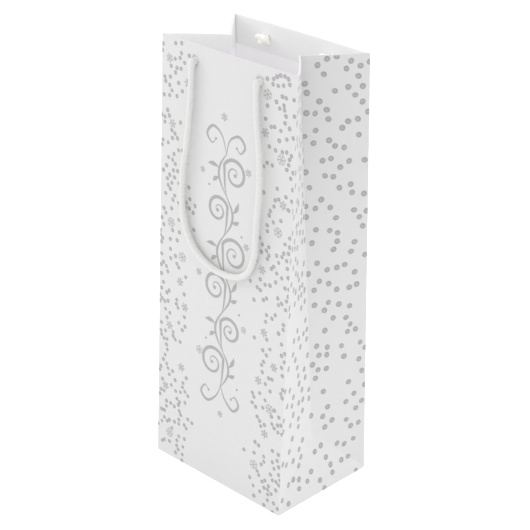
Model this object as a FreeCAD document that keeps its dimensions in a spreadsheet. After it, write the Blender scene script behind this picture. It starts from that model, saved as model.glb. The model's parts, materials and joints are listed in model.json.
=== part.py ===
import FreeCAD, Part
import math
import os

import Sketcher
from FreeCAD import Placement, Rotation, Vector

# Wine gift bag: one creased sheet of coated paper on a block bottom, with a turned-in top hem over
# two card strips, a loose base board and two cord handles knotted inside punched holes.
#
# Frame: millimetres, +Z up, origin on the ground under the middle of the base. The front panel
# faces -Y. Both wide panels lean in towards the mouth, and the side gussets fold in between them.
# A point on a wide panel is given as (across, up, out): along X, up the sloping sheet from the
# base edge, and outwards from its printed face.

DIMENSIONS = {
    "bag_width": 134.0,
    "bag_depth": 97.0,
    "sheet_height": 343.0,
    "lean_angle": 2.05,
    "paper": 0.35,
    "panel_margin": 0.6,
    "flap_margin": 1.0,
    "front_flap_reach": 72.0,
    "back_flap_reach": 45.0,
    "side_flap_reach": 42.0,
    "side_flap_taper": 25.0,
    "board_margin": 2.5,
    "board_thickness": 1.0,
    "board_corner": 3.0,
    "hem_height": 23.0,
    "hem_margin": 6.0,
    "card_height": 20.5,
    "card_thickness": 0.5,
    "hole_offset": 32.0,
    "hole_drop": 12.0,
    "hole_radius": 3.0,
    "cord_radius": 2.3,
    "cord_standoff": 3.0,
    "cord_end_gap": 0.25,
    "knot_radius": 3.7,
    "knot_half_length": 2.6,
    "knot_gap": 0.1,
    "edge_gap": 2.0,
    "crease_gap": 2.2,
    "hem_crease_gap": 4.4,
    "layer_gap": 0.03,
    "triangle_margin": 1.4,
    "seam_tab_start": 3.0,
    "seam_tab_width": 9.0,
    "seam_tab_low": 30.0,
    "seam_tab_drop": 4.0,
}

# Centre line of each handle as it lies against its panel, from one hole to the other.
FRONT_ROUTE = [
    (-32.0, 331.0, 3.0),
    (-32.4, 306.0, 3.3),
    (-34.2, 274.0, 4.0),
    (-39.0, 246.0, 4.2),
    (-40.0, 216.0, 3.6),
    (-31.5, 192.5, 3.3),
    (-13.5, 180.0, 3.0),
    (8.0, 177.5, 3.1),
    (27.5, 183.5, 3.2),
    (36.5, 201.0, 3.5),
    (36.9, 226.0, 4.1),
    (39.6, 252.0, 4.5),
    (38.4, 279.0, 4.2),
    (33.0, 306.0, 3.3),
    (32.0, 331.0, 3.0),
]
BACK_ROUTE = [
    (-32.0, 331.0, 3.0),
    (-33.6, 306.0, 3.3),
    (-38.0, 276.0, 4.1),
    (-38.6, 247.0, 4.4),
    (-36.0, 220.0, 3.8),
    (-32.0, 197.0, 3.4),
    (-17.0, 181.0, 3.1),
    (4.0, 177.0, 3.0),
    (24.0, 182.0, 3.2),
    (37.0, 197.5, 3.4),
    (40.5, 222.0, 3.9),
    (38.6, 250.0, 4.3),
    (36.4, 278.0, 4.0),
    (33.4, 306.0, 3.3),
    (32.0, 331.0, 3.0),
]
ARC_SHARE = 0.45

doc = FreeCAD.newDocument("WineGiftBag")
parts = []


def make_sheet():
    """Write the driving dimensions as plain numbers with aliases."""
    sheet = doc.addObject("Spreadsheet::Sheet", "Sheet")
    for row, (alias, number) in enumerate(DIMENSIONS.items(), start=1):
        sheet.set(f"A{row}", alias)
        sheet.set(f"B{row}", str(number))
        sheet.setAlias(f"B{row}", alias)
    doc.recompute()
    return sheet


sheet = make_sheet()


def size(alias):
    return float(sheet.get(alias))


def register(item, label):
    """Name a finished sub-part; its label is its node."""
    item.Label = label
    parts.append(item)
    return item


# ---- sketches -------------------------------------------------------------------------------


def attach(body, role, offset=Placement()):
    """Add a sketch on one of the body's own origin planes."""
    sketch = body.newObject("Sketcher::SketchObject", "Outline")
    plane = [item for item in body.Origin.OriginFeatures if item.Role == role][0]
    sketch.AttachmentSupport = [(plane, "")]
    sketch.MapMode = "FlatFace"
    sketch.AttachmentOffset = offset
    return sketch


def place_point(sketch, edge, end, name, across, up):
    """Hold one point of the sketch at two expressions measured from its origin."""
    for kind, word, text in (("DistanceX", "x", across), ("DistanceY", "y", up)):
        index = sketch.addConstraint(Sketcher.Constraint(kind, -1, 1, edge, end, 1.0))
        sketch.renameConstraint(index, name + word)
        sketch.setExpression(f"Constraints.{name}{word}", text)


def draw_polygon(sketch, corners):
    """Closed outline whose corners are pairs of expressions."""
    count = len(corners)
    for index in range(count):
        turn = 2 * math.pi * index / count
        after = 2 * math.pi * (index + 1) / count
        start = Vector(10 * math.cos(turn), 10 * math.sin(turn), 0)
        end = Vector(10 * math.cos(after), 10 * math.sin(after), 0)
        sketch.addGeometry(Part.LineSegment(start, end), False)
    for index in range(count):
        sketch.addConstraint(
            Sketcher.Constraint("Coincident", index, 2, (index + 1) % count, 1)
        )
    for index, (across, up) in enumerate(corners):
        place_point(sketch, index, 1, f"corner{index}", across, up)


def draw_rectangle(sketch, left, low, right, high):
    draw_polygon(sketch, [(left, low), (right, low), (right, high), (left, high)])


def draw_holes(sketch):
    """The two punched cord holes near the top edge."""
    for word, sign in (("left", "-"), ("right", "")):
        circle = Part.Circle(Vector(0, 100, 0), Vector(0, 0, 1), 3)
        edge = sketch.addGeometry(circle, False)
        place_point(
            sketch,
            edge,
            3,
            word,
            f"{sign}Sheet.hole_offset",
            "Sheet.sheet_height - Sheet.hole_drop",
        )
        index = sketch.addConstraint(Sketcher.Constraint("Radius", edge, 3.0))
        sketch.renameConstraint(index, word + "radius")
        sketch.setExpression(f"Constraints.{word}radius", "Sheet.hole_radius")


def pad(body, sketch, thickness, backwards):
    solid = body.newObject("PartDesign::Pad", "Thickness")
    solid.Profile = sketch
    solid.setExpression("Length", thickness)
    solid.Reversed = backwards
    return solid


# ---- wide panels ----------------------------------------------------------------------------


def panel_place(front):
    """Frame of a wide panel: X across, Z up the sheet, -Y out of its printed face."""
    lean = Rotation(Vector(1, 0, 0), -size("lean_angle"))
    if front:
        return Placement(Vector(0, -size("bag_depth") / 2, 0), lean)
    turned = Rotation(Vector(0, 0, 1), 180)
    return Placement(Vector(0, size("bag_depth") / 2, 0), turned.multiply(lean))


def panel_layer(label, front, margin, low, high, thickness, depth):
    """One flat layer of a wide panel, with its cord holes, depth behind the printed face."""
    body = doc.addObject("PartDesign::Body", label)
    sketch = attach(body, "XZ_Plane")
    half = f"Sheet.bag_width / 2 - {margin}"
    draw_rectangle(sketch, f"-({half})", low, half, high)
    draw_holes(sketch)
    pad(body, sketch, thickness, True)
    body.Placement = panel_place(front).multiply(Placement(Vector(0, depth, 0), Rotation()))
    return register(body, label)


def wide_panel(word, front):
    """Printed panel, card strip behind its top edge, and the hem turned in over the card."""
    card_depth = size("paper")
    hem_depth = card_depth + size("card_thickness")
    top = "Sheet.sheet_height"
    panel_layer(
        f"{word}_panel", front, "Sheet.panel_margin", "2 * Sheet.paper", top, "Sheet.paper", 0
    )
    panel_layer(
        f"{word}_top_card",
        front,
        "Sheet.hem_margin",
        f"{top} - Sheet.card_height",
        f"{top} - Sheet.card_thickness",
        "Sheet.card_thickness",
        card_depth,
    )
    panel_layer(
        f"{word}_hem",
        front,
        "Sheet.hem_margin",
        f"{top} - Sheet.hem_height",
        top,
        "Sheet.paper",
        hem_depth,
    )


# ---- side gussets ---------------------------------------------------------------------------


def fold_points():
    """Corners of one gusset half, right side, front: base corner, top corner, junction, crease top.

    The half is a flat trapezoid of the sheet, half the bag's depth wide. Its 45 degree fold meets
    the centre crease at the junction, and the lean of the wide panel sets how far both fold in.
    """
    half_width = size("bag_width") / 2
    half_depth = size("bag_depth") / 2
    height = size("sheet_height")
    lean = math.radians(size("lean_angle"))
    edge = Vector(0, math.sin(lean), math.cos(lean))
    base = Vector(half_width, -half_depth, 0)
    top = base + edge * height
    rise = half_depth * (1 - math.sin(lean)) / math.cos(lean)
    junction = Vector(half_width - math.sqrt(half_depth**2 - rise**2), 0, rise)
    drop = -top.y * math.tan(lean)
    inward = math.sqrt(half_depth**2 - top.y**2 - drop**2)
    crease = Vector(half_width - inward, 0, top.z - drop)
    return base, top, junction, crease


def gusset_point(share_across, share_up, side, end):
    """Point of the twisted half, as shares from edge to crease and from base to top."""
    base, top, junction, crease = fold_points()
    outer = base + (top - base) * share_up
    inner = junction + (crease - junction) * share_up
    point = outer + (inner - outer) * share_across
    return Vector(side * point.x, end * point.y, point.z)


def gusset_section(body, share_up, across, inset, side, end):
    """Thin rectangle across the half at one level, inset towards the inside of the bag."""
    start = gusset_point(across[0], share_up, side, end)
    finish = gusset_point(across[1], share_up, side, end)
    middle = sum(across) / 2
    rise = gusset_point(middle, 1, side, end) - gusset_point(middle, 0, side, end)
    along = (finish - start).normalize()
    inwards = along.cross(rise).normalize() * (side * end)
    if inwards.x * side > 0:
        inwards = inwards * -1
    turn = Rotation(along, inwards, along.cross(inwards), "XYZ")
    sketch = attach(body, "XY_Plane", Placement(start + inwards * inset, turn))
    length = (finish - start).Length
    draw_rectangle(sketch, "0", "-Sheet.paper / 2", f"{length:.6f}", "Sheet.paper / 2")
    return sketch


def gusset_sheet(label, levels, across, inset, side, end):
    """Ruled loft between a low and a high section of one gusset half."""
    body = doc.addObject("PartDesign::Body", label)
    low, high = [gusset_section(body, level, across, inset, side, end) for level in levels]
    loft = body.newObject("PartDesign::AdditiveLoft", "Twist")
    loft.Profile = low
    loft.Sections = [high]
    loft.Ruled = True
    return register(body, label)


def gussets():
    """Four gusset halves, each with its piece of the turned-in hem, and the glued seam tab."""
    half_depth = size("bag_depth") / 2
    crease_length = size("sheet_height") - half_depth
    sheet_across = (size("edge_gap") / half_depth, 1 - size("crease_gap") / half_depth)
    hem_across = (size("hem_margin") / half_depth, 1 - size("hem_crease_gap") / half_depth)
    fold_gap = size("triangle_margin") / crease_length
    hem_low = 1 - size("hem_height") / crease_length
    inset = size("paper") + size("layer_gap")
    for side_word, side in (("right", 1), ("left", -1)):
        for end_word, end in (("front", 1), ("back", -1)):
            name = f"{side_word}_gusset_{end_word}"
            gusset_sheet(name, (fold_gap, 1), sheet_across, 0, side, end)
            gusset_sheet(f"{name}_hem", (hem_low, 1), hem_across, inset, side, end)
    tab_start = size("seam_tab_start")
    tab_end = tab_start + size("seam_tab_width")
    tab_across = (tab_start / half_depth, tab_end / half_depth)
    tab_low = size("seam_tab_low") / crease_length
    tab_high = hem_low - size("seam_tab_drop") / crease_length
    gusset_sheet("side_seam_tab", (tab_low, tab_high), tab_across, inset, -1, -1)


# ---- base -----------------------------------------------------------------------------------


def base_triangle(label, side):
    """Triangle between the base edge and the two 45 degree folds, tilted in with the gusset."""
    base, top, junction, crease = fold_points()
    tilt = math.degrees(math.atan2(size("bag_width") / 2 - junction.x, junction.z))
    body = doc.addObject("PartDesign::Body", label)
    sketch = attach(body, "YZ_Plane")
    reach = "Sheet.bag_depth / 2 - (1 + sqrt(2)) * Sheet.triangle_margin"
    rise = "Sheet.bag_depth / 2 - sqrt(2) * Sheet.triangle_margin"
    low = "Sheet.triangle_margin"
    draw_polygon(sketch, [(f"-({reach})", low), (reach, low), ("0", rise)])
    pad(body, sketch, "Sheet.paper", True)
    inwards = Rotation(Vector(0, 1, 0), -tilt)
    if side < 0:
        inwards = Rotation(Vector(0, 0, 1), 180).multiply(inwards)
    body.Placement = Placement(Vector(side * size("bag_width") / 2, 0, 0), inwards)
    return register(body, label)


def base_flap(label, corners, layer):
    """One glued flap of the block bottom, lying on the flaps under it."""
    body = doc.addObject("PartDesign::Body", label)
    sketch = attach(body, "XY_Plane")
    draw_polygon(sketch, corners)
    pad(body, sketch, "Sheet.paper", False)
    body.Placement = Placement(Vector(0, 0, layer * size("paper")), Rotation())
    return register(body, label)


def base_flaps():
    """Long front flap outermost, then the back flap, then the two side flaps."""
    half_width = "(Sheet.bag_width / 2 - Sheet.flap_margin)"
    half_depth = "(Sheet.bag_depth / 2 - Sheet.flap_margin)"
    for word, sign, layer in (("front", "-", 0), ("back", "", 1)):
        edge = f"{sign}{half_depth}"
        inner = f"{edge} {'+' if sign else '-'} Sheet.{word}_flap_reach"
        corners = [
            (f"-{half_width}", edge),
            (half_width, edge),
            (half_width, inner),
            (f"-{half_width}", inner),
        ]
        base_flap(f"bottom_{word}_flap", corners, layer)
    for word, sign in (("left", "-"), ("right", "")):
        edge = f"{sign}{half_width}"
        inner = f"{edge} {'+' if sign else '-'} Sheet.side_flap_reach"
        narrow = f"({half_depth} - Sheet.side_flap_taper)"
        corners = [
            (edge, f"-{half_depth}"),
            (edge, half_depth),
            (inner, narrow),
            (inner, f"-{narrow}"),
        ]
        base_flap(f"bottom_{word}_flap", corners, 2)


def base_board():
    """Loose stiffening board that lies on the flaps inside the bag."""
    body = doc.addObject("PartDesign::Body", "base_board")
    sketch = attach(body, "XY_Plane")
    half_width = "(Sheet.bag_width / 2 - Sheet.board_margin)"
    half_depth = "(Sheet.bag_depth / 2 - Sheet.board_margin)"
    draw_rectangle(sketch, f"-{half_width}", f"-{half_depth}", half_width, half_depth)
    slab = pad(body, sketch, "Sheet.board_thickness", False)
    doc.recompute()
    upright = [
        f"Edge{index}"
        for index, edge in enumerate(slab.Shape.Edges, start=1)
        if abs(edge.tangentAt(edge.FirstParameter).z) > 0.9
    ]
    rounding = body.newObject("PartDesign::Fillet", "Corners")
    rounding.Base = (slab, upright)
    rounding.setExpression("Radius", "Sheet.board_corner")
    body.Tip = rounding
    body.Placement = Placement(Vector(0, 0, 3 * size("paper")), Rotation())
    return register(body, "base_board")


# ---- handles --------------------------------------------------------------------------------


def primitive(kind, place, **bindings):
    item = doc.addObject(kind, "Piece")
    for name, text in bindings.items():
        item.setExpression(name, text)
    item.Placement = place
    return item


def knot(label, front, side):
    """Stopper knot against the hem, with the cord's short run through the hole."""
    inner_face = 2 * size("paper") + size("card_thickness")
    up = size("sheet_height") - size("hole_drop")
    centre = Vector(side * size("hole_offset"), inner_face + size("knot_gap") + size("knot_radius"), up)
    outer_end = -(size("cord_standoff") - size("cord_radius") - size("cord_end_gap"))
    start = Vector(centre.x, outer_end, up)
    ball_shift = Vector(size("knot_half_length"), 0, 0)
    lengthwise = Rotation(Vector(0, 1, 0), 90)
    pieces = [
        primitive(
            "Part::Cylinder",
            Placement(centre - ball_shift, lengthwise),
            Radius="Sheet.knot_radius",
            Height="2 * Sheet.knot_half_length",
        ),
        primitive(
            "Part::Sphere", Placement(centre - ball_shift, Rotation()), Radius="Sheet.knot_radius"
        ),
        primitive(
            "Part::Sphere", Placement(centre + ball_shift, Rotation()), Radius="Sheet.knot_radius"
        ),
        primitive(
            "Part::Cylinder",
            Placement(start, Rotation(Vector(1, 0, 0), -90)),
            Radius="Sheet.cord_radius",
            Height=f"{centre.y - outer_end:.6f}",
        ),
    ]
    fused = doc.addObject("Part::MultiFuse", "Knot")
    fused.Shapes = pieces
    fused.Placement = panel_place(front)
    return register(fused, label)


def rounded_path(points):
    """Straight runs joined by tangent arcs; returns the wire and the arcs' radii."""
    edges, radii = [], []
    start = points[0]
    for before, corner, after in zip(points, points[1:], points[2:]):
        towards = before - corner
        onwards = after - corner
        trim = ARC_SHARE * min(towards.Length, onwards.Length)
        half_turn = (math.pi - towards.getAngle(onwards)) / 2
        radii.append(trim / math.tan(half_turn))
        enter = corner + towards.normalize() * trim
        leave = corner + onwards.normalize() * trim
        middle = (towards + onwards).normalize()
        inside = corner + middle * (radii[-1] / math.cos(half_turn) - radii[-1])
        edges.append(Part.LineSegment(start, enter).toShape())
        edges.append(Part.Arc(enter, inside, leave).toShape())
        start = leave
    edges.append(Part.LineSegment(start, points[-1]).toShape())
    return Part.Wire(edges), radii


def handle(label, route, front):
    """Cord loop with round ends on its swing axis, just outside the holes."""
    points = [Vector(across, -out, up) for across, up, out in route]
    path, radii = rounded_path(points)
    radius = size("cord_radius")
    ring = Part.Wire(Part.Circle(points[0], points[1] - points[0], radius).toShape())
    tube = path.makePipeShell([ring], True, True)
    expected = math.pi * radius**2 * path.Length
    if abs(tube.Volume - expected) > 0.01 * expected:
        raise RuntimeError(f"{label}: tube volume {tube.Volume:.1f}, expected {expected:.1f}")
    ends = [Part.makeSphere(radius, point) for point in (points[0], points[-1])]
    item = doc.addObject("Part::Feature", "Cord")
    item.Shape = tube.fuse(ends).removeSplitter()
    item.Placement = panel_place(front)
    radii_text = " ".join(f"{value:.0f}" for value in radii)
    print(f"{label}: length {path.Length:.1f} mm, arc radii {radii_text}")
    return register(item, label)


def handles():
    for word, front, route in (("front", True, FRONT_ROUTE), ("back", False, BACK_ROUTE)):
        knot(f"{word}_left_knot", front, -1)
        knot(f"{word}_right_knot", front, 1)
        handle(f"{word}_handle_cord", route, front)


# ---- checks and export ----------------------------------------------------------------------


def check_and_export():
    doc.recompute()
    for item in doc.Objects:
        if "Invalid" in item.State or "Error" in item.State:
            raise RuntimeError(f"{item.Name} ({item.Label}) failed: {item.State}")
    for item in parts:
        if item.Shape.isNull() or not item.Shape.isValid() or item.Shape.Volume <= 0:
            raise RuntimeError(f"{item.Label} has no valid shape")
    os.makedirs("parts", exist_ok=True)
    for item in parts:
        item.Shape.exportStep(f"parts/{item.Label}.step")
    print(f"{len(parts)} parts written")


base_flaps()
base_board()
base_triangle("right_base_triangle", 1)
base_triangle("left_base_triangle", -1)
wide_panel("front", True)
wide_panel("back", False)
gussets()
handles()
check_and_export()
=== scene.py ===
"""Wine gift bag: creased coated paper with silver confetti print, turned-in hem and knotted cords.

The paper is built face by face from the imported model's hinges. A point on a wide panel is given as
(across, up, out), and a point on a gusset as (across from its side edge, up the flat sheet).
"""

import json
import math
import random
from functools import partial

import bmesh
import bpy
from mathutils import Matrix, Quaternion, Vector


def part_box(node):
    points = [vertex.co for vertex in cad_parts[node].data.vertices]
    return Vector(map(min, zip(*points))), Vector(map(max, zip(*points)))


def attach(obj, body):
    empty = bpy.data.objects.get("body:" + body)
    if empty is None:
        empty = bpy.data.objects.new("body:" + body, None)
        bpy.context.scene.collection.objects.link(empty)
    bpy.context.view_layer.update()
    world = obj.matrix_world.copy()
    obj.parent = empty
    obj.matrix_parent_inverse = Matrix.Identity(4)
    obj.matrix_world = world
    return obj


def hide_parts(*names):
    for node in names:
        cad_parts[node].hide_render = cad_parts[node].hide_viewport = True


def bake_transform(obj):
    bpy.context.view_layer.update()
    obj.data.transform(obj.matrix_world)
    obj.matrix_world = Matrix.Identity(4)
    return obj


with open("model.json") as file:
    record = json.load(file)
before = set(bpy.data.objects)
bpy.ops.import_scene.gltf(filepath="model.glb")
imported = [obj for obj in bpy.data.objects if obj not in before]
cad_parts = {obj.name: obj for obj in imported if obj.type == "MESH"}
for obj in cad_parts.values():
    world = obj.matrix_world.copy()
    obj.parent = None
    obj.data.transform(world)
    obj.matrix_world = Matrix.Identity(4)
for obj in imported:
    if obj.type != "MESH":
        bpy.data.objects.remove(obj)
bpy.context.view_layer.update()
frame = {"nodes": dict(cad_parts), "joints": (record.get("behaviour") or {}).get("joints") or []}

MM = 0.001
JOINTS = {joint["name"]: joint for joint in frame["joints"]}
SIDE_EDGE = JOINTS["right_gusset_front_fold"]

# ---- sizes, from the frame ------------------------------------------------------------------

HALF_WIDTH = SIDE_EDGE["pos_m"][0]
HALF_DEPTH = -JOINTS["mouth_fold"]["pos_m"][1]
LEAN = math.asin(SIDE_EDGE["axis"][1])
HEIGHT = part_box("front_panel")[1].z / math.cos(LEAN)
SWING = JOINTS["front_handle_swing"]["pos_m"]
HOLE_UP = SWING[2] * math.cos(LEAN) + (SWING[1] + HALF_DEPTH) * math.sin(LEAN)
HOLE_ACROSS = sum(corner.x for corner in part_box("front_right_knot")) / 2
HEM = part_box("front_hem")[1].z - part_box("front_hem")[0].z

# Thicknesses, radii and small shapes that the frame doesn't hold.
PAPER = 0.35 * MM
CARD = 0.5 * MM
INK = 0.05 * MM
FOLD_RADIUS = (2 * PAPER + CARD) / 2
PRINT_TOP = HEIGHT - 0.8 * FOLD_RADIUS
CORD_RADIUS = 2.3 * MM
BRAID_STEP = 0.45 * MM
HOLE_RADIUS = 3.0 * MM
# How far the walls swell, and how deep the gusset's crease runs down its triangle.
TOP_BOW = 1.3 * MM
GUSSET_BOW = 1.0 * MM
VALLEY = 0.9 * MM

DOT_RADIUS = 1.7 * MM
GUSSET_DOT_RADIUS = 2.35 * MM
FLAKE_RADIUS = 3.7 * MM

# Rows of a sheet: up its face, then round its top fold. The hem's paper starts half way round.
PANEL_ROWS = 60
TURN_ROWS = 9
HEM_ROW = PANEL_ROWS + TURN_ROWS // 2 - 1

# Centre line of each handle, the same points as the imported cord, from hole to hole, as (across,
# up, out) of its panel. The two extra points at each end lead it out of its hole.
FRONT_ROUTE = [
    (-0.0320, 0.3310, -0.0010),
    (-0.0320, 0.3316, 0.0026),
    (-0.0320, 0.3280, 0.0033),
    (-0.0324, 0.3060, 0.0033),
    (-0.0342, 0.2740, 0.0040),
    (-0.0390, 0.2460, 0.0042),
    (-0.0400, 0.2160, 0.0036),
    (-0.0315, 0.1925, 0.0033),
    (-0.0135, 0.1800, 0.0030),
    (0.0080, 0.1775, 0.0031),
    (0.0275, 0.1835, 0.0032),
    (0.0365, 0.2010, 0.0035),
    (0.0369, 0.2260, 0.0041),
    (0.0396, 0.2520, 0.0045),
    (0.0384, 0.2790, 0.0042),
    (0.0330, 0.3060, 0.0033),
    (0.0320, 0.3280, 0.0033),
    (0.0320, 0.3316, 0.0026),
    (0.0320, 0.3310, -0.0010),
]
BACK_ROUTE = [
    (-0.0320, 0.3310, -0.0010),
    (-0.0320, 0.3316, 0.0026),
    (-0.0320, 0.3280, 0.0033),
    (-0.0336, 0.3060, 0.0033),
    (-0.0380, 0.2760, 0.0041),
    (-0.0386, 0.2470, 0.0044),
    (-0.0360, 0.2200, 0.0038),
    (-0.0320, 0.1970, 0.0034),
    (-0.0170, 0.1810, 0.0031),
    (0.0040, 0.1770, 0.0030),
    (0.0240, 0.1820, 0.0032),
    (0.0370, 0.1975, 0.0034),
    (0.0405, 0.2220, 0.0039),
    (0.0386, 0.2500, 0.0043),
    (0.0364, 0.2780, 0.0040),
    (0.0334, 0.3060, 0.0033),
    (0.0320, 0.3280, 0.0033),
    (0.0320, 0.3316, 0.0026),
    (0.0320, 0.3310, -0.0010),
]


# ---- camera, first because the cords are judged by its view -----------------------------------


def make_camera():
    """Camera at the front right, above the mouth, with a long lens."""
    azimuth, elevation, roll = math.radians(44.11), math.radians(25.36), math.radians(0.64)
    distance = 3.6 * HEIGHT
    back = Vector(
        (
            math.sin(azimuth) * math.cos(elevation),
            -math.cos(azimuth) * math.cos(elevation),
            math.sin(elevation),
        )
    )
    camera = bpy.data.objects.new("camera", bpy.data.cameras.new("camera"))
    bpy.context.collection.objects.link(camera)
    camera.location = Vector((0, 0, HEIGHT / 2)) + back * distance
    camera.rotation_mode = "QUATERNION"
    camera.rotation_quaternion = back.to_track_quat("Z", "Y") @ Quaternion((0, 0, 1), roll)
    camera.data.lens = 111.9
    camera.data.sensor_width = 36
    camera.data.shift_x = 0.0052
    camera.data.shift_y = -0.0051
    camera.data.clip_start = 0.05
    bpy.context.scene.camera = camera


# ---- materials ------------------------------------------------------------------------------


def new_material(name):
    material = bpy.data.materials.new(name)
    material.use_nodes = True
    return material, material.node_tree.nodes, material.node_tree.links


def add_noise(nodes, links, scale, detail, stretch=(1, 1, 1)):
    """Noise in the object's own metres, so its grain has a real size."""
    place = nodes.new("ShaderNodeTexCoord")
    mapping = nodes.new("ShaderNodeMapping")
    mapping.inputs["Scale"].default_value = stretch
    noise = nodes.new("ShaderNodeTexNoise")
    noise.inputs["Scale"].default_value = scale
    noise.inputs["Detail"].default_value = detail
    links.new(place.outputs["Object"], mapping.inputs["Vector"])
    links.new(mapping.outputs["Vector"], noise.inputs["Vector"])
    return noise.outputs["Fac"]


def add_ramp(nodes, links, source, low, high):
    """Blend between two colours by a noise value."""
    ramp = nodes.new("ShaderNodeValToRGB")
    ramp.color_ramp.elements[0].position = 0.3
    ramp.color_ramp.elements[1].position = 0.7
    ramp.color_ramp.elements[0].color = (*low, 1)
    ramp.color_ramp.elements[1].color = (*high, 1)
    links.new(source, ramp.inputs["Fac"])
    return ramp.outputs["Color"]


def add_range(nodes, links, source, low, high, start=0.0, end=1.0):
    """Carry a value's range from start to end over to low to high."""
    remap = nodes.new("ShaderNodeMapRange")
    remap.inputs["From Min"].default_value = start
    remap.inputs["From Max"].default_value = end
    remap.inputs["To Min"].default_value = low
    remap.inputs["To Max"].default_value = high
    links.new(source, remap.inputs["Value"])
    return remap.outputs["Result"]


def add_bump(nodes, links, source, strength, distance, before=None):
    bump = nodes.new("ShaderNodeBump")
    bump.inputs["Strength"].default_value = strength
    bump.inputs["Distance"].default_value = distance
    links.new(source, bump.inputs["Height"])
    if before is not None:
        links.new(before, bump.inputs["Normal"])
    return bump.outputs["Normal"]


def paper_material(name, colour, roughness, glow):
    """Coated paper: nearly even white, faint fibre clouds, satin surface with a fine tooth.

    glow is the strength of an emission: painted light that brightens the paper near the mouth,
    standing in for light coming through the thin paper. It fades down the bag.
    """
    material, nodes, links = new_material(name)
    surface = nodes["Principled BSDF"]
    clouds = add_noise(nodes, links, 260, 4)
    low = tuple(channel * 0.99 for channel in colour)
    cloudy = add_ramp(nodes, links, clouds, low, colour)
    links.new(cloudy, surface.inputs["Base Color"])
    links.new(cloudy, surface.inputs["Emission Color"])
    place = nodes.new("ShaderNodeTexCoord")
    parts = nodes.new("ShaderNodeSeparateXYZ")
    links.new(place.outputs["Object"], parts.inputs["Vector"])
    # Emission strength: painted light, full at the top and down to a tenth of it at 45% of the
    # height.
    through = add_range(nodes, links, parts.outputs["Z"], 0.1 * glow, glow, 0.45 * HEIGHT, HEIGHT)
    links.new(through, surface.inputs["Emission Strength"])
    streaks = add_noise(nodes, links, 90, 3)
    rough = add_range(nodes, links, streaks, roughness - 0.05, roughness + 0.06)
    links.new(rough, surface.inputs["Roughness"])
    tooth = add_noise(nodes, links, 2600, 3)
    cockle = add_noise(nodes, links, 28, 1)
    fine = add_bump(nodes, links, tooth, 0.12, 0.03 * MM)
    normal = add_bump(nodes, links, cockle, 0.15, 0.5 * MM, fine)
    links.new(normal, surface.inputs["Normal"])
    surface.inputs["Specular IOR Level"].default_value = 0.4
    return material


def board_material():
    """Grey-white board: pressed fibres and small flecks."""
    material, nodes, links = new_material("base_board_pulp")
    surface = nodes["Principled BSDF"]
    fibres = add_noise(nodes, links, 700, 6, (1, 0.3, 1))
    colour = add_ramp(nodes, links, fibres, (0.60, 0.585, 0.55), (0.74, 0.725, 0.69))
    links.new(colour, surface.inputs["Base Color"])
    surface.inputs["Roughness"].default_value = 0.85
    normal = add_bump(nodes, links, fibres, 0.4, 0.08 * MM)
    links.new(normal, surface.inputs["Normal"])
    return material


def ink_material(name, dark, light, roughness):
    """Silver-grey print: mottled where the ink lies thinner, a little glossier than the paper."""
    material, nodes, links = new_material(name)
    surface = nodes["Principled BSDF"]
    mottle = add_noise(nodes, links, 1400, 5)
    colour = add_ramp(nodes, links, mottle, dark, light)
    links.new(colour, surface.inputs["Base Color"])
    surface.inputs["Roughness"].default_value = roughness
    surface.inputs["Metallic"].default_value = 0.15
    normal = add_bump(nodes, links, mottle, 0.15, 0.02 * MM)
    links.new(normal, surface.inputs["Normal"])
    return material


def cord_material(name, dark, light):
    """Soft off-white cord: fine fibres, a faint sheen, and some emission.

    The emission is painted light: it lifts the cord's shaded side and stands in for light that
    scatters inside the cord.
    """
    material, nodes, links = new_material(name)
    surface = nodes["Principled BSDF"]
    fibres = add_noise(nodes, links, 3200, 5)
    colour = add_ramp(nodes, links, fibres, dark, light)
    links.new(colour, surface.inputs["Base Color"])
    links.new(colour, surface.inputs["Emission Color"])
    surface.inputs["Emission Strength"].default_value = 0.36
    surface.inputs["Roughness"].default_value = 0.6
    surface.inputs["Sheen Weight"].default_value = 0.3
    surface.inputs["Sheen Roughness"].default_value = 0.5
    normal = add_bump(nodes, links, fibres, 0.35, 0.06 * MM)
    links.new(normal, surface.inputs["Normal"])
    return material


def floor_material():
    """Pale sweep with a little emission, so that it stays white."""
    material, nodes, links = new_material("floor")
    surface = nodes["Principled BSDF"]
    grain = add_noise(nodes, links, 40, 2)
    pale = add_ramp(nodes, links, grain, (0.88, 0.88, 0.88), (0.9, 0.9, 0.9))
    links.new(pale, surface.inputs["Base Color"])
    surface.inputs["Emission Color"].default_value = (1, 1, 1, 1)
    surface.inputs["Emission Strength"].default_value = 0.2
    surface.inputs["Roughness"].default_value = 0.9
    surface.inputs["Specular IOR Level"].default_value = 0.1
    return material


PRINTED = paper_material("printed_paper", (0.657, 0.657, 0.658), 0.40, 0.0)
# The turned-in hem is the printed paper's own face; its darker colour and its glow are painted shade
# and light for the inside of the mouth. The inner paper's glow is painted light too.
HEM_PAPER = paper_material("turned_in_hem", (0.60, 0.60, 0.60), 0.45, 0.44)
INSIDE = paper_material("inner_paper", (0.695, 0.683, 0.70), 0.6, 0.42)
PAPERS = (PRINTED, INSIDE, HEM_PAPER)
BOARD = board_material()
INK_RIM = ink_material("ink_rim", (0.31, 0.31, 0.312), (0.40, 0.40, 0.402), 0.4)
INK_HEART = ink_material("ink_heart", (0.37, 0.37, 0.372), (0.46, 0.46, 0.462), 0.36)
INK_FINE = ink_material("ink_fine", (0.32, 0.32, 0.322), (0.42, 0.42, 0.422), 0.38)
CORD = cord_material("braided_cord", (0.495, 0.492, 0.483), (0.55, 0.548, 0.542))
# The knots get a paler and creamier copy of the cord's colour; the paleness is painted light that
# lifts them in the shaded mouth.
KNOT_CORD_PAINTED_LIGHT = cord_material("knot_cord_painted_light", (0.66, 0.643, 0.594), (0.73, 0.717, 0.68))


# ---- where a point of the flat sheet lies -----------------------------------------------------


def end_name(front):
    return "front" if front else "back"


def side_name(side):
    return "right" if side > 0 else "left"


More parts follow.
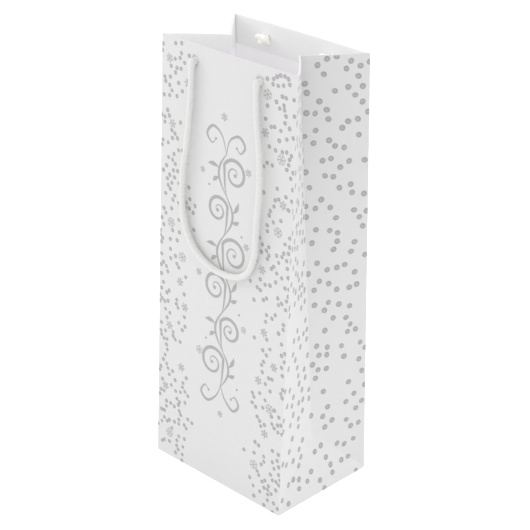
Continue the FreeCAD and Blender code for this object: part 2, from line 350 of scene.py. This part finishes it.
def gusset_angle(up):
    """How far a gusset half has turned in at that height."""
    return math.acos(1 - up * math.sin(LEAN) / HALF_DEPTH)


def corner_mitre(up):
    """How far inside the vertical corner two layers meet, for each unit of their depth."""
    return 1 / math.tan((math.pi / 2 - gusset_angle(up)) / 2)


def bow(across, up):
    """How far a wide panel swells outwards: most in the middle of its top edge."""
    swell = math.cos(math.pi / 2 * min(1, abs(across) / HALF_WIDTH))
    return TOP_BOW * swell * (up / HEIGHT) ** 3


def turned(point, front):
    """The back of the bag is the front turned half round."""
    return point if front else Vector((-point.x, -point.y, point.z))


def panel_point(front, across, up, out):
    """Point of a wide panel: across from its middle, up the sheet and out of its face."""
    out += bow(across, up)
    slope, rise = math.sin(LEAN), math.cos(LEAN)
    point = Vector((across, -HALF_DEPTH + up * slope - out * rise, up * rise + out * slope))
    return turned(point, front)


def fold_points():
    """Base corner, top corner, junction of the folds and top of the crease, front right."""
    base = Vector((HALF_WIDTH, -HALF_DEPTH, 0))
    edge = Vector((0, math.sin(LEAN), math.cos(LEAN)))
    top = base + edge * HEIGHT
    rise = HALF_DEPTH * (1 - math.sin(LEAN)) / math.cos(LEAN)
    junction = Vector((HALF_WIDTH - math.sqrt(HALF_DEPTH**2 - rise**2), 0, rise))
    drop = -top.y * math.tan(LEAN)
    inward = math.sqrt(HALF_DEPTH**2 - top.y**2 - drop**2)
    crease = Vector((HALF_WIDTH - inward, 0, top.z - drop))
    return base, top, junction, crease


BASE_CORNER, TOP_CORNER, JUNCTION, CREASE_TOP = fold_points()


def ruled(share, level):
    """Point of a gusset half before it swells, front right."""
    outer = BASE_CORNER.lerp(TOP_CORNER, level)
    inner = JUNCTION.lerp(CREASE_TOP, level)
    return outer.lerp(inner, share)


def gusset_normal(share, level):
    """Outward normal of the twisted gusset half, front right."""
    step = 0.01
    along = ruled(share + step, level) - ruled(share - step, level)
    upwards = ruled(share, level + step) - ruled(share, level - step)
    normal = upwards.cross(along).normalized()
    return normal if normal.x > 0 else -normal


def gusset_point(side, front, share, level, out):
    """Point of a gusset half: share from the side edge to the crease, level from fold to top."""
    swell = GUSSET_BOW * math.sin(math.pi * min(1, max(0, share))) * level**2
    point = ruled(share, level) + gusset_normal(share, level) * (out + swell)
    return Vector((side * point.x, point.y if front else -point.y, point.z))


def triangle_point(side, along, up, out):
    """Point of the base triangle: along the base edge from its middle, and up its slope.

    The gusset's crease runs on down its middle as a shallow valley.
    """
    slope = (HALF_WIDTH - JUNCTION.x) / HALF_DEPTH
    rise = JUNCTION.z / HALF_DEPTH
    reach = max(HALF_DEPTH - up, 1e-6)
    out -= VALLEY * max(0, 1 - abs(along) / reach) * math.sin(math.pi * up / HALF_DEPTH)
    x = HALF_WIDTH - up * slope + out * rise
    return Vector((side * x, along, max(0, up * rise + out * slope)))


# ---- paper ----------------------------------------------------------------------------------


def make_object(name, mesh, materials):
    item = bpy.data.objects.new(name, mesh)
    bpy.context.collection.objects.link(item)
    for material in materials:
        mesh.materials.append(material)
    return item


def finish_mesh(bm, name, materials, sharp_angle=35):
    """Turn a bmesh into an object, smooth but for edges over the sharp angle."""
    bmesh.ops.recalc_face_normals(bm, faces=bm.faces)
    mesh = bpy.data.meshes.new(name)
    bm.to_mesh(mesh)
    bm.free()
    mesh.shade_smooth()
    mesh.set_sharp_from_angle(angle=math.radians(sharp_angle))
    return make_object(name, mesh, materials)


def closed_sheet(name, outer, inner, materials=PAPERS, tones=(0, 1), hem_row=None):
    """Closed thin solid between two grids of points, with the hem's paper from hem_row on.

    tones are the materials' numbers on its outer and inner face.
    """
    bm = bmesh.new()
    skins = [[[bm.verts.new(point) for point in row] for row in grid] for grid in (outer, inner)]
    rows, columns = len(outer), len(outer[0])
    for tone, grid in zip(tones, skins):
        for row in range(rows - 1):
            turned_in = hem_row is not None and row >= hem_row
            for column in range(columns - 1):
                near, far = grid[row], grid[row + 1]
                corners = (near[column], near[column + 1], far[column + 1], far[column])
                bm.faces.new(corners).material_index = 2 if turned_in else tone
    loop = [(0, column) for column in range(columns)]
    loop += [(row, columns - 1) for row in range(1, rows)]
    loop += [(rows - 1, column) for column in range(columns - 2, -1, -1)]
    loop += [(row, 0) for row in range(rows - 2, 0, -1)]
    for (row, column), (next_row, next_column) in zip(loop, loop[1:] + loop[:1]):
        outside, inside = skins
        bm.faces.new(
            (
                outside[row][column],
                outside[next_row][next_column],
                inside[next_row][next_column],
                inside[row][column],
            )
        )
    bmesh.ops.remove_doubles(bm, verts=bm.verts, dist=1e-7)
    return finish_mesh(bm, name, materials)


def spread(low, high, count):
    """Evenly spaced values, both ends included."""
    return [low + (high - low) * index / (count - 1) for index in range(count)]


def folded_profile():
    """(up, outer depth, inner depth) up the sheet, over the top fold and down behind it."""
    straight = HEIGHT - FOLD_RADIUS
    rows = [(up, 0.0, PAPER) for up in spread(0, straight, PANEL_ROWS)]
    for turn in spread(0, math.pi, TURN_ROWS)[1:-1]:
        up = straight + FOLD_RADIUS * math.sin(turn)
        rows.append((up, FOLD_RADIUS * (1 - math.cos(turn)), None))
    depth = 2 * FOLD_RADIUS
    rows += [(up, depth, depth - PAPER) for up in spread(straight, HEIGHT - HEM, 9)]
    return rows


def fold_inner(row):
    """(up, depth) of the sheet's other face."""
    up, depth, inner = row
    if inner is not None:
        return up, inner
    away = Vector((up - (HEIGHT - FOLD_RADIUS), depth - FOLD_RADIUS))
    shrunk = away * ((FOLD_RADIUS - PAPER) / FOLD_RADIUS)
    return HEIGHT - FOLD_RADIUS + shrunk.x, FOLD_RADIUS + shrunk.y


def punch(item, front):
    """Cut the two cord holes through a layer of a wide panel."""
    reach = 5 * MM
    for sign in (-1, 1):
        middle = panel_point(front, sign * HOLE_ACROSS, HOLE_UP, 0)
        outer = panel_point(front, sign * HOLE_ACROSS, HOLE_UP, reach)
        bm = bmesh.new()
        bmesh.ops.create_cone(
            bm, cap_ends=True, segments=48, radius1=HOLE_RADIUS, radius2=HOLE_RADIUS, depth=2 * reach
        )
        turn = (outer - middle).to_track_quat("Z", "Y").to_matrix().to_4x4()
        bm.transform(turn)
        bmesh.ops.translate(bm, verts=bm.verts, vec=middle)
        cutter = finish_mesh(bm, "cutter", [])
        boolean = item.modifiers.new("hole", "BOOLEAN")
        boolean.operation = "DIFFERENCE"
        boolean.solver = "EXACT"
        boolean.object = cutter
        apply_modifiers(item)
        bpy.data.objects.remove(cutter)


def apply_modifiers(item):
    """Keep the mesh that the modifiers make."""
    depsgraph = bpy.context.evaluated_depsgraph_get()
    mesh = bpy.data.meshes.new_from_object(item.evaluated_get(depsgraph))
    old = item.data
    item.modifiers.clear()
    item.data = mesh
    bpy.data.meshes.remove(old)


def wide_panel(front):
    """Printed panel with its hem turned in over the card strip, punched for the cord."""
    word = end_name(front)
    rows = folded_profile()
    columns = spread(-1, 1, 41)
    grids = []
    for inner in (False, True):
        grid = []
        for row in rows:
            up, depth = fold_inner(row) if inner else row[:2]
            reach = HALF_WIDTH - depth * corner_mitre(min(up, HEIGHT))
            grid.append([panel_point(front, share * reach, up, -depth) for share in columns])
        grids.append(grid)
    sheet = closed_sheet(f"{word}_panel_sheet", *grids, hem_row=HEM_ROW)
    punch(sheet, front)
    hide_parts(f"{word}_panel", f"{word}_hem")
    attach(sheet, f"{word}_panel")


def top_card(front):
    """Card strip inside the hem, following the panel's swell."""
    word = end_name(front)
    low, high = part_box(f"{word}_top_card")
    reach = high.x
    gap = 0.02 * MM
    grids = []
    for depth in (PAPER + gap, PAPER + CARD - gap):
        grids.append(
            [
                [panel_point(front, across, up, -depth) for across in spread(-reach, reach, 41)]
                for up in spread(low.z / math.cos(LEAN), high.z / math.cos(LEAN), 9)
            ]
        )
    card = closed_sheet(f"{word}_card_strip", *grids, materials=[BOARD], tones=(0, 0))
    punch(card, front)
    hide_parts(f"{word}_top_card")
    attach(card, f"{word}_panel")


def gusset_half(side, front):
    """Half of a side gusset, from the side edge to the centre crease, with its turned-in hem."""
    body = f"{side_name(side)}_gusset_{end_name(front)}"
    rows = folded_profile()
    columns = spread(0, 1, 21)
    grids = []
    for inner in (False, True):
        grid = []
        for row in rows:
            up, depth = fold_inner(row) if inner else row[:2]
            level = up / HEIGHT
            start = depth * corner_mitre(up) / HALF_DEPTH
            finish = 1 + depth * math.tan(gusset_angle(up)) / HALF_DEPTH
            shares = [start + (finish - start) * share for share in columns]
            grid.append([gusset_point(side, front, share, level, -depth) for share in shares])
        grids.append(grid)
    sheet = closed_sheet(f"{body}_sheet", *grids, hem_row=HEM_ROW)
    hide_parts(body, f"{body}_hem")
    if body == "left_gusset_back":
        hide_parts("side_seam_tab")
    bend_gusset(sheet)


def bend_gusset(item):
    """Bake a gusset piece's placement into its mesh."""
    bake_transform(item)


def bend_triangle(item, side):
    """Bake a piece of the triangle's placement into its mesh; the points at its base edge and its tip
    are found but not used.
    """
    start = triangle_point(side, 0, 0, 0)
    end = triangle_point(side, 0, HALF_DEPTH, 0)
    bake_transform(item)


def base_triangle(side):
    """Triangle between the base edge and the two slanting folds."""
    grids = []
    for depth in (0, PAPER):
        grid = []
        for up in spread(0, HALF_DEPTH, 15):
            reach = HALF_DEPTH - up
            line = [share * reach for share in spread(-1, 1, 17)]
            grid.append([triangle_point(side, along, up, -depth) for along in line])
        grids.append(grid)
    name = f"{side_name(side)}_base_triangle"
    sheet = closed_sheet(f"{name}_sheet", *grids)
    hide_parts(name)
    bend_triangle(sheet, side)


# ---- print ----------------------------------------------------------------------------------


def clip(polygon, region):
    """The part of a convex polygon inside a convex region, both going anticlockwise."""
    for start, end in zip(region, region[1:] + region[:1]):
        sides = [
            (end[0] - start[0]) * (point[1] - start[1])
            - (end[1] - start[1]) * (point[0] - start[0])
            for point in polygon
        ]
        kept = []
        for index, point in enumerate(polygon):
            after = (index + 1) % len(polygon)
            if sides[index] >= 0:
                kept.append(point)
            if sides[index] * sides[after] < 0:
                share = sides[index] / (sides[index] - sides[after])
                other = polygon[after]
                kept.append(
                    (
                        point[0] + (other[0] - point[0]) * share,
                        point[1] + (other[1] - point[1]) * share,
                    )
                )
        polygon = kept
        if len(polygon) < 3:
            return []
    return polygon


class Print:
    """Thin closed patches of ink on one face, cut off at its folds.

    place turns (across, up, out) of the face into a point, and region is the face's outline.
    """

    def __init__(self, name, place, region):
        self.name = name
        self.place = place
        self.region = region
        self.bm = bmesh.new()

    def patch(self, polygon, tone, lift=INK):
        outline = clip(polygon, self.region)
        if not outline:
            return
        top = [self.bm.verts.new(self.place(x, y, lift)) for x, y in outline]
        low = [self.bm.verts.new(self.place(x, y, -INK)) for x, y in outline]
        faces = [self.bm.faces.new(top), self.bm.faces.new(low[::-1])]
        for index in range(len(top)):
            after = (index + 1) % len(top)
            faces.append(self.bm.faces.new((top[after], top[index], low[index], low[after])))
        for face in faces:
            face.material_index = tone

    def ribbon(self, points, widths, tone):
        """Stroke along a line, in short pieces that share their ends."""
        line = [Vector(point) for point in points]
        edges = []
        for index, point in enumerate(line):
            along = line[min(index + 1, len(line) - 1)] - line[max(index - 1, 0)]
            across = Vector((-along.y, along.x)).normalized() * (widths[index] / 2)
            edges.append((tuple(point - across), tuple(point + across)))
        for (left, right), (next_left, next_right) in zip(edges, edges[1:]):
            self.patch([left, next_left, next_right, right], tone)

    def done(self, materials):
        return finish_mesh(self.bm, self.name, materials, 50)


def circle(x, y, radius, count, squash=1.0, turn=0.0):
    """Outline of a disc, or of one squashed and turned."""
    points = []
    for index in range(count):
        angle = 2 * math.pi * index / count
        a, b = radius * math.cos(angle), radius * squash * math.sin(angle)
        points.append(
            (x + a * math.cos(turn) - b * math.sin(turn), y + a * math.sin(turn) + b * math.cos(turn))
        )
    return points


def scatter(rng, count, low, high, gap, keep):
    """Random places at least gap apart, thinned by keep(x, y)."""
    places = []
    tries = 0
    while len(places) < count and tries < 60 * count:
        tries += 1
        x, y = rng.uniform(low[0], high[0]), rng.uniform(low[1], high[1])
        if rng.random() > keep(x, y):
            continue
        if all((x - a) ** 2 + (y - b) ** 2 > gap**2 for a, b in places):
            places.append((x, y))
    return places


def dot_shape(rng, radius):
    """Size, roundness and turn of one confetti dot, and the side that its heart is set to."""
    size = radius * rng.uniform(0.92, 1.06)
    squash = rng.uniform(0.86, 1.0)
    turn = rng.uniform(0, math.pi)
    return size, squash, turn, rng.uniform(0, 2 * math.pi)


def add_dot(item, x, y, shape):
    """Confetti dot: a darker disc with a paler heart set a little off its middle."""
    size, squash, turn, shift = shape
    heart_x = x + 0.12 * size * math.cos(shift)
    heart_y = y + 0.12 * size * math.sin(shift)
    item.patch(circle(x, y, size, 20, squash, turn), 0)
    item.patch(circle(heart_x, heart_y, 0.45 * size, 14, squash, turn), 1, 1.4 * INK)


def add_snowflake(item, rng, x, y, radius):
    """Small six-armed flake: a star of fine branched lines, or rings of dots."""
    turn = rng.uniform(0, math.pi / 3)
    dotted = rng.random() < 0.45
    centre = Vector((x, y))
    for arm in range(6):
        angle = turn + arm * math.pi / 3
        towards = Vector((math.cos(angle), math.sin(angle)))
        sideways = Vector((-towards.y, towards.x))
        if dotted:
            spots = [(0.42, 0, 0.13), (0.72, 0, 0.16), (1.0, 0, 0.12)]
            spots += [(0.86, sign * 0.3, 0.11) for sign in (-1, 1)]
            for share, aside, size in spots:
                spot = centre + (towards * share + sideways * aside) * radius
                item.patch(circle(*spot, size * radius, 10), 2)
            continue
        strokes = [(centre, centre + towards * radius)]
        for share, length in ((0.42, 0.30), (0.70, 0.26)):
            root = centre + towards * radius * share
            for sign in (-1, 1):
                branch = angle + sign * math.pi / 3.2
                tip = root + Vector((math.cos(branch), math.sin(branch))) * (radius * length)
                strokes.append((root, tip))
        for start, end in strokes:
            item.ribbon([start, end], [0.13 * radius, 0.1 * radius], 2)
    item.patch(circle(x, y, (0.24 if dotted else 0.16) * radius, 12), 2, 1.2 * INK)


def panel_region():
    """Outline of a wide panel's printed face."""
    corners = ((-1, 0), (1, 0), (1, PRINT_TOP), (-1, PRINT_TOP))
    return [(share * HALF_WIDTH, up) for share, up in corners]


def band_share(x, y):
    """Confetti lies thickest along both side edges and thins out towards the clear middle."""
    away = HALF_WIDTH - abs(x)
    solid, clear = 20 * MM, 37 * MM
    wander = 3 * MM * math.sin(y / (27 * MM))
    return min(1, max(0, (clear + wander - away) / (clear - solid))) ** 1.3


def flake_share(x, y):
    """Flakes keep off the side edges and the clear middle."""
    away = HALF_WIDTH - abs(x)
    return 1 if 7 * MM < away < 29 * MM and 8 * MM < y < HEIGHT - 10 * MM else 0


def panel_print(front):
    """Confetti bands and flakes on a wide panel."""
    word = end_name(front)
    rng = random.Random(11 if front else 23)
    confetti = Print(f"{word}_confetti", partial(panel_point, front), panel_region())
    low, high = (-HALF_WIDTH, 0), (HALF_WIDTH, HEIGHT)
    flake_gap, dot_gap, clear_of_flake = 20 * MM, 3.1 * MM, 5.2 * MM
    flakes = scatter(rng, 24, low, high, flake_gap, flake_share)
    for x, y in flakes:
        add_snowflake(confetti, rng, x, y, FLAKE_RADIUS)
    for x, y in scatter(rng, 400, low, high, dot_gap, band_share):
        if all((x - a) ** 2 + (y - b) ** 2 > clear_of_flake**2 for a, b in flakes):
            add_dot(confetti, x, y, dot_shape(rng, DOT_RADIUS))
    item = confetti.done([INK_RIM, INK_HEART, INK_FINE])
    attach(item, f"{word}_panel")


def gusset_print(side):
    """Larger confetti over a whole gusset, each dot drawn on every face that it reaches."""
    side_word = side_name(side)
    rng = random.Random(37 + side)
    depth = 2 * HALF_DEPTH
    half_region = [(0, 0), (HALF_DEPTH, HALF_DEPTH), (HALF_DEPTH, PRINT_TOP), (0, PRINT_TOP)]

    def half_place(front):
        def place(across, up, out):
            level = (up - across) / (HEIGHT - across)
            return gusset_point(side, front, across / HALF_DEPTH, level, out)

        return place

    def foot_place(across, up, out):
        return triangle_point(side, across - HALF_DEPTH, up, out)

    halves = {
        front: Print(
            f"{side_word}_gusset_{end_name(front)}_confetti",
            half_place(front),
            half_region,
        )
        for front in (True, False)
    }
    foot = Print(
        f"{side_word}_base_triangle_confetti",
        foot_place,
        [(0, 0), (depth, 0), (HALF_DEPTH, HALF_DEPTH)],
    )
    dot_gap = 6.2 * MM
    for x, y in scatter(rng, 262, (0, 0), (depth, HEIGHT), dot_gap, lambda x, y: 1):
        shape = dot_shape(rng, GUSSET_DOT_RADIUS)
        add_dot(halves[True], x, y, shape)
        add_dot(halves[False], depth - x, y, shape)
        add_dot(foot, x, y, shape)
    for front, item in halves.items():
        piece = item.done([INK_RIM, INK_HEART])
        bend_gusset(piece)
    piece = foot.done([INK_RIM, INK_HEART])
    bend_triangle(piece, side)


def spiral(centre, start_angle, turns, radius, steps=44):
    """Curl that winds in from its rim."""
    points = []
    for step in range(steps + 1):
        share = step / steps
        angle = start_angle + turns * 2 * math.pi * share
        reach = radius * (1 - share) ** 0.8 + 0.06 * radius
        points.append((centre[0] + reach * math.cos(angle), centre[1] + reach * math.sin(angle)))
    return points


def swell_widths(count, thin, thick, peak=0.45):
    """Pen pressure along a stroke: thin at both ends, thick in between."""
    widths = []
    for index in range(count):
        share = index / (count - 1)
        shape = share / peak if share < peak else (1 - share) / (1 - peak)
        widths.append(thin + (thick - thin) * math.sin(math.pi / 2 * shape) ** 1.5)
    return widths


def smooth_line(points, steps=14):
    """Even curve through a few points (Catmull-Rom)."""
    padded = [points[0], *points, points[-1]]
    line = []
    for a, b, c, d in zip(padded, padded[1:], padded[2:], padded[3:]):
        for step in range(steps):
            t = step / steps
            line.append(
                tuple(
                    0.5
                    * (
                        2 * q
                        + (r - p) * t
                        + (2 * p - 5 * q + 4 * r - s) * t**2
                        + (3 * q - p - 3 * r + s) * t**3
                    )
                    for p, q, r, s in zip(a, b, c, d)
                )
            )
    line.append(tuple(points[-1]))
    return line


def add_stroke(item, line, thin, thick, peak=0.45):
    """Pen stroke along a line, its widths in millimetres."""
    item.ribbon(line, swell_widths(len(line), thin * MM, thick * MM, peak), 0)


def add_leaf(item, root, angle, length):
    """Pointed leaf, bent a little towards its tip."""
    line = []
    for share in spread(0, 1, 15):
        bend = angle + 0.5 * share
        reach = length * share
        line.append((root[0] + reach * math.cos(bend), root[1] + reach * math.sin(bend)))
    add_stroke(item, line, 0.2, 3.4, 0.55)


def scroll_print(front):
    """Upright scroll ornament in the clear middle: thick and thin curls on a waving stem."""
    word = end_name(front)
    scroll = Print(f"{word}_scroll", partial(panel_point, front), panel_region())
    middle, low, high = 2 * MM, 84 * MM, 270 * MM
    wave, period = 7.5 * MM, 62 * MM

    def stem(up):
        return middle + wave * math.sin(2 * math.pi * (up - low) / period)

    points = [(stem(up), up) for up in spread(low, high, 140)]
    slants = [abs(math.sin(2 * math.pi * (up - low) / period)) for _, up in points]
    scroll.ribbon(points, [(0.6 + 1.5 * slant) * MM for slant in slants], 0)
    for index in range(6):
        sign = 1 if index % 2 == 0 else -1
        up = low + (index + 0.5) * period / 2
        size = (12.5, 10.5, 11.5)[index % 3] * MM
        centre = (stem(up) - sign * (size + 4.5 * MM), up + 2 * MM)
        curl = spiral(centre, 0 if sign > 0 else math.pi, sign * 1.6, size)
        root = (stem(up - 17 * MM), up - 17 * MM)
        lead = smooth_line([root, (centre[0] + sign * size * 0.82, up - 9 * MM), curl[2]], 8)
        add_stroke(scroll, lead[:-1] + curl[2:], 0.4, 2.7, 0.35)
        scroll.patch(circle(*curl[-1], 1.5 * MM, 18), 0, 1.2 * INK)
        add_leaf(scroll, (stem(up + 3 * MM), up + 3 * MM), math.pi / 2 - sign * 1.0, 12 * MM)
        add_leaf(scroll, (stem(up - 4 * MM), up - 4 * MM), math.pi / 2 - sign * 1.7, 8 * MM)
        scroll.patch(circle(stem(up) + sign * 9.5 * MM, up - 12 * MM, 1.0 * MM, 14), 0)
    ends = (
        ((stem(high), high), (5, 281), (14, 286), (20, 280), (16, 274), (12, 277)),
        ((stem(high), high), (-3, 283), (-12, 288), (-18, 281), (-13, 275), (-9, 279)),
        ((stem(low), low), (-3, 74), (-12, 67), (-19, 72), (-15, 79), (-11, 76)),
        ((stem(low), low), (6, 75), (15, 68), (21, 74), (17, 80), (13, 77)),
    )
    for root, *rest in ends:
        line = smooth_line([root] + [(x * MM, y * MM) for x, y in rest])
        add_stroke(scroll, line, 0.5, 2.2)
        scroll.patch(circle(*line[-1], 1.1 * MM, 14), 0, 1.2 * INK)
    rng = random.Random(5)
    flakes = (
        (-1, 297, 3.4), (24, 262, 3.2), (-22, 252, 2.6), (24, 205, 3.0),
        (-24, 170, 3.2), (24, 139, 2.6), (-22, 106, 3.2), (2, 60, 3.0),
    )
    for x, y, size in flakes:
        add_snowflake(scroll, rng, x * MM, y * MM, size * MM)
    item = scroll.done([INK_FINE, INK_RIM, INK_FINE])
    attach(item, f"{word}_panel")


# ---- cords ----------------------------------------------------------------------------------


def nurbs_line(points):
    """Points along the smooth curve that has these as its control points."""
    curve = bpy.data.curves.new("route", "CURVE")
    curve.dimensions = "3D"
    curve.resolution_u = 12
    spline = curve.splines.new("NURBS")
    spline.points.add(len(points) - 1)
    for target, point in zip(spline.points, points):
        target.co = (*point, 1)
    spline.order_u = 3
    spline.use_endpoint_u = True
    item = bpy.data.objects.new("route", curve)
    bpy.context.collection.objects.link(item)
    depsgraph = bpy.context.evaluated_depsgraph_get()
    mesh = bpy.data.meshes.new_from_object(item.evaluated_get(depsgraph))
    line = [vertex.co.copy() for vertex in mesh.vertices]
    bpy.data.objects.remove(item)
    bpy.data.curves.remove(curve)
    bpy.data.meshes.remove(mesh)
    return line


def line_length(line):
    return sum((after - before).length for before, after in zip(line, line[1:]))


def even_line(line, step):
    """The same line with its points evenly spaced."""
    lengths = [0.0]
    for before, after in zip(line, line[1:]):
        lengths.append(lengths[-1] + (after - before).length)
    count = max(2, round(lengths[-1] / step))
    points, index = [], 0
    for number in range(count + 1):
        distance = lengths[-1] * number / count
        while index < len(line) - 2 and lengths[index + 1] < distance:
            index += 1
        run = lengths[index + 1] - lengths[index]
        share = (distance - lengths[index]) / run if run else 0
        points.append(line[index].lerp(line[index + 1], share))
    return points


def side_vectors(line):
    """A pair of vectors across the line at each point, turning as little as they can."""
    pairs = []
    side = None
    for index in range(len(line)):
        along = (line[min(index + 1, len(line) - 1)] - line[max(index - 1, 0)]).normalized()
        if side is None:
            side = along.orthogonal()
        side = (side - along * side.dot(along)).normalized()
        pairs.append((side, along.cross(side)))
    return pairs


def braid(name, line, radius, material):
    """Soft braided cord along a line: small crossing bumps round a full tube, rounded ends.

    radius gives the cord's radius at a share of its length.
    """
    ring, carriers, pitch, relief = 24, 4, 6.4 * MM, 0.1
    pairs = side_vectors(line)
    bm = bmesh.new()
    rows = []
    travelled = 0.0
    total = line_length(line)
    for index, point in enumerate(line):
        if index:
            travelled += (point - line[index - 1]).length
        first, second = pairs[index]
        size = radius(travelled / total)
        to_end = min(travelled, total - travelled)
        cap = math.sqrt(max(0.02, min(1, (to_end + 0.2 * MM) / size * 1.2)))
        row = []
        for step in range(ring):
            angle = 2 * math.pi * step / ring
            run = 2 * math.pi * travelled / pitch
            bump = math.cos(carriers * angle + run) * math.cos(carriers * angle - run)
            reach = size * cap * (1 + relief * bump)
            offset = first * math.cos(angle) + second * math.sin(angle)
            row.append(bm.verts.new(point + offset * reach))
        rows.append(row)
    for before, after in zip(rows, rows[1:]):
        for step in range(ring):
            other = (step + 1) % ring
            bm.faces.new((before[step], before[other], after[other], after[step]))
    bm.faces.new(rows[0][::-1])
    bm.faces.new(rows[-1])
    return finish_mesh(bm, name, [material], 75)


def handle_radius(share):
    """Full where it comes out of its holes, drawn thin below them, fuller again in the loop."""
    away = min(share, 1 - share)
    swollen = math.exp(-(((away - 0.012) / 0.011) ** 2))
    return CORD_RADIUS * (0.86 + 0.17 * math.sin(math.pi * share) ** 2 + 0.24 * swollen)


def handle(front, route):
    """Cord loop from hole to hole, with its placement baked into its mesh."""
    word = end_name(front)
    points = [panel_point(front, *point) for point in route]
    line = even_line(nurbs_line(points), BRAID_STEP)
    item = braid(f"{word}_handle_braid", line, handle_radius, CORD)
    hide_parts(f"{word}_handle_cord")
    panel_point(front, -HOLE_ACROSS, HOLE_UP, 0)
    start = panel_point(front, 0, HOLE_UP, 3 * MM)
    end = panel_point(front, 0, HOLE_UP - 6 * MM, 3 * MM)
    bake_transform(item)


def knot_radius(share):
    """The knot's turns are pressed together, and its cut end fans out."""
    return CORD_RADIUS * (0.9 + 0.18 * max(0, (share - 0.88) / 0.12))


def knot(front, side, spin):
    """Overhand knot drawn up against the hem, with a short cut tail."""
    word, side_word = end_name(front), side_name(side)
    depth = 2 * PAPER + CARD + 4.0 * MM
    across, up = side * HOLE_ACROSS, HOLE_UP
    route = [(0, 0, -0.6 * MM), (0, 0, -2.4 * MM)]
    for step in range(19):
        angle = 4 * math.pi * step / 18 + spin
        route.append(
            (
                (1.5 * math.sin(angle) + 2.4 * math.sin(angle / 2 + spin)) * MM,
                (2.1 * math.cos(angle) - 0.5) * MM,
                -depth + 1.5 * MM * math.sin(1.5 * angle),
            )
        )
    route += [(5.6 * MM, 0.4 * MM, -depth), (8.6 * MM, 1.4 * MM, -depth - 0.4 * MM)]
    points = [panel_point(front, across + a, up + b, c) for a, b, c in route]
    line = even_line(nurbs_line(points), BRAID_STEP)
    # The knot takes the paler cord colour: painted light for the shaded mouth.
    item = braid(f"{word}_{side_word}_knot_braid", line, knot_radius, KNOT_CORD_PAINTED_LIGHT)
    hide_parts(f"{word}_{side_word}_knot")
    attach(item, f"{word}_panel")


# ---- stage ----------------------------------------------------------------------------------


def make_stage():
    """Wide pale floor under an even white sky, a little brighter overhead."""
    bm = bmesh.new()
    bmesh.ops.create_grid(bm, x_segments=1, y_segments=1, size=6)
    floor = finish_mesh(bm, "floor", [floor_material()])
    world = bpy.data.worlds.new("studio")
    bpy.context.scene.world = world
    world.use_nodes = True
    nodes, links = world.node_tree.nodes, world.node_tree.links
    place = nodes.new("ShaderNodeTexCoord")
    parts = nodes.new("ShaderNodeSeparateXYZ")
    links.new(place.outputs["Generated"], parts.inputs["Vector"])
    strength = add_range(nodes, links, parts.outputs["Z"], 0.9, 1.15)
    links.new(strength, nodes["Background"].inputs["Strength"])
    nodes["Background"].inputs["Color"].default_value = (1, 1, 1, 1)
    bpy.context.scene.view_settings.view_transform = "Standard"


def area_light(name, place, target, size, power):
    """Round lamp that faces its target."""
    light = bpy.data.lights.new(name, "AREA")
    light.shape = "DISK"
    light.size = size
    light.energy = power
    item = bpy.data.objects.new(name, light)
    bpy.context.collection.objects.link(item)
    item.location = place
    item.rotation_euler = (Vector(place) - Vector(target)).to_track_quat("Z", "Y").to_euler()


def make_lights():
    """Soft white tent with one weak lamp low on the left, and a faint one behind on the right."""
    middle = (0, 0, HEIGHT / 2)
    area_light("key", (-1.5, -0.75, 1.15), middle, 0.6, 7)
    area_light("rim", (0.9, 1.3, 0.8), middle, 0.6, 6)


def dress_cad():
    """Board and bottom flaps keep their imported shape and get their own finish."""
    finishes = {"base_board": BOARD}
    for word in ("front", "back", "left", "right"):
        finishes[f"bottom_{word}_flap"] = INSIDE
    for node, material in finishes.items():
        item = frame["nodes"][node]
        item.data.materials.clear()
        item.data.materials.append(material)


make_camera()
handle(True, FRONT_ROUTE)
handle(False, BACK_ROUTE)
for is_front in (True, False):
    wide_panel(is_front)
    top_card(is_front)
    panel_print(is_front)
    scroll_print(is_front)
    for knot_side in (-1, 1):
        knot(is_front, knot_side, 0.4 * knot_side)
for gusset_side in (1, -1):
    for is_front in (True, False):
        gusset_half(gusset_side, is_front)
    base_triangle(gusset_side)
    gusset_print(gusset_side)
dress_cad()
make_stage()
make_lights()
